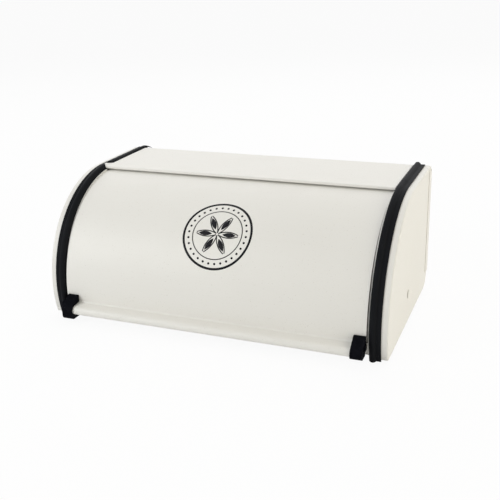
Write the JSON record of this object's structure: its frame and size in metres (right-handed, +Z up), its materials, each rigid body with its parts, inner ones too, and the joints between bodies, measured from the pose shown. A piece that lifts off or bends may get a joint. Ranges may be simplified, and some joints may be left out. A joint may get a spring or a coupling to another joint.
{
  "type": "bread box",
  "caption": "Roll-top bread box of folded, enamelled sheet steel, with a curved door that swings up under the flat top, black rubber edge trims and a folded pull lip.",
  "frame": {"origin": "on the surface that the box stands on, at the middle of the footprint", "axes": "+Z up, +X along the box's length to the right of someone who faces the door, the door at -Y and the back at +Y"},
  "size_m": [0.3466, 0.2034, 0.1353],
  "materials": {
    "enamel": "cream white, satin, slightly warmer on the lip",
    "rubber": "near black, semi-gloss, extruded",
    "zinc": "zinc plated",
    "nylon": "natural white nylon"
  },
  "bodies": {
    "housing": {"folded_body": "enamel", "side_panel_left": "enamel", "side_panel_right": "enamel", "edge_trim_left": "rubber", "edge_trim_right": "rubber", "pivot_pin_left": "zinc", "pivot_pin_right": "zinc", "spacer_bush_left": "nylon", "spacer_bush_right": "nylon", "pivot_washer_left": "nylon", "pivot_washer_right": "nylon", "push_nut_left": "zinc", "push_nut_right": "zinc", "foot_front_left": "rubber", "foot_front_right": "rubber", "foot_rear_left": "rubber", "foot_rear_right": "rubber"},
    "door": {"door_panel": "enamel", "door_cheek_left": "enamel", "door_cheek_right": "enamel", "lip_clip_left": "rubber", "lip_clip_right": "rubber"}
  },
  "joints": [
    {"name": "door_roll", "type": "hinge", "parent": "housing", "child": "door", "pos_m": [0, 0.0012, 0.032], "axis": [-1, 0, 0], "range_deg": [0, 73]}
  ]
}
